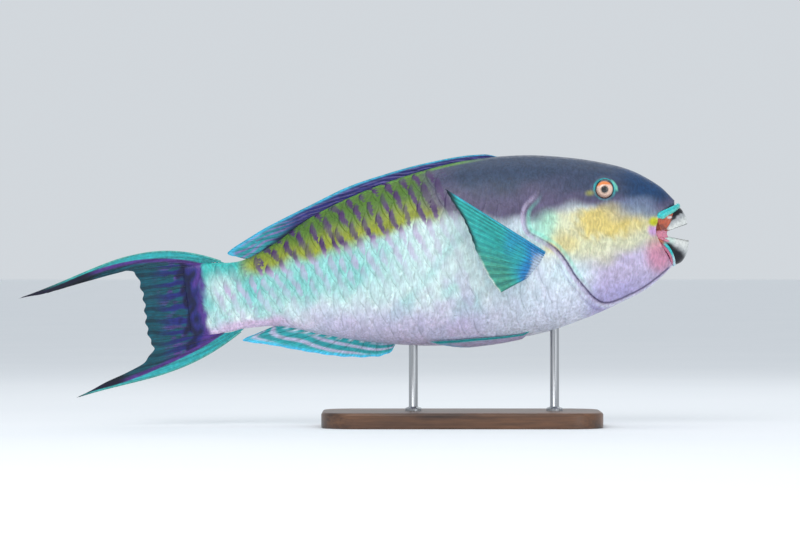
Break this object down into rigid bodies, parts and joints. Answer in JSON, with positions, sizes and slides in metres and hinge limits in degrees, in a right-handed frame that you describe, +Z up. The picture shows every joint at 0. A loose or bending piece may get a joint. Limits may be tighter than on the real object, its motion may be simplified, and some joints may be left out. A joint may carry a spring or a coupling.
{
  "type": "parrotfish",
  "caption": "Life-size still model of a male parrotfish swimming with folded fins and open beak, held over a flat base by two short rods.",
  "frame": {"origin": "middle of the underside of the stand's base", "axes": "+X towards the fish's snout, +Z up; the fish's right side faces -Y"},
  "size_m": [0.602, 0.1476, 0.2438],
  "materials": {
    "head_skin": "wet, satin skin, slate above and lilac below",
    "scaled_skin": "satin scales, green above, teal and lilac on the side",
    "dark_fin": "translucent satin membrane, indigo and teal",
    "turquoise_fin": "translucent satin membrane, turquoise and blue",
    "eye": "clear gloss, cream and orange iris round a black pupil",
    "beak": "smooth enamel, ivory, dark at the root",
    "lip": "satin skin, bright turquoise",
    "base_wood": "satin dark walnut",
    "rod_steel": "brushed"
  },
  "bodies": {
    "root": {"head": "head_skin", "gill_cover_right": "head_skin", "gill_cover_left": "head_skin", "trunk": "scaled_skin", "tail_stalk": "scaled_skin", "dorsal_fin": "dark_fin", "anal_fin": "turquoise_fin", "tail_fin_upper": "dark_fin", "tail_fin_middle": "dark_fin", "tail_fin_lower": "dark_fin", "pectoral_fin_right": "turquoise_fin", "pectoral_fin_left": "turquoise_fin", "pelvic_fin_right": "turquoise_fin", "pelvic_fin_left": "turquoise_fin", "eye_right": "eye", "eye_left": "eye", "beak_upper": "beak", "beak_lower": "beak", "lip_upper": "lip", "lip_lower": "lip", "stand_base": "base_wood", "stand_rod_front": "rod_steel", "stand_rod_rear": "rod_steel"}
  },
  "joints": []
}
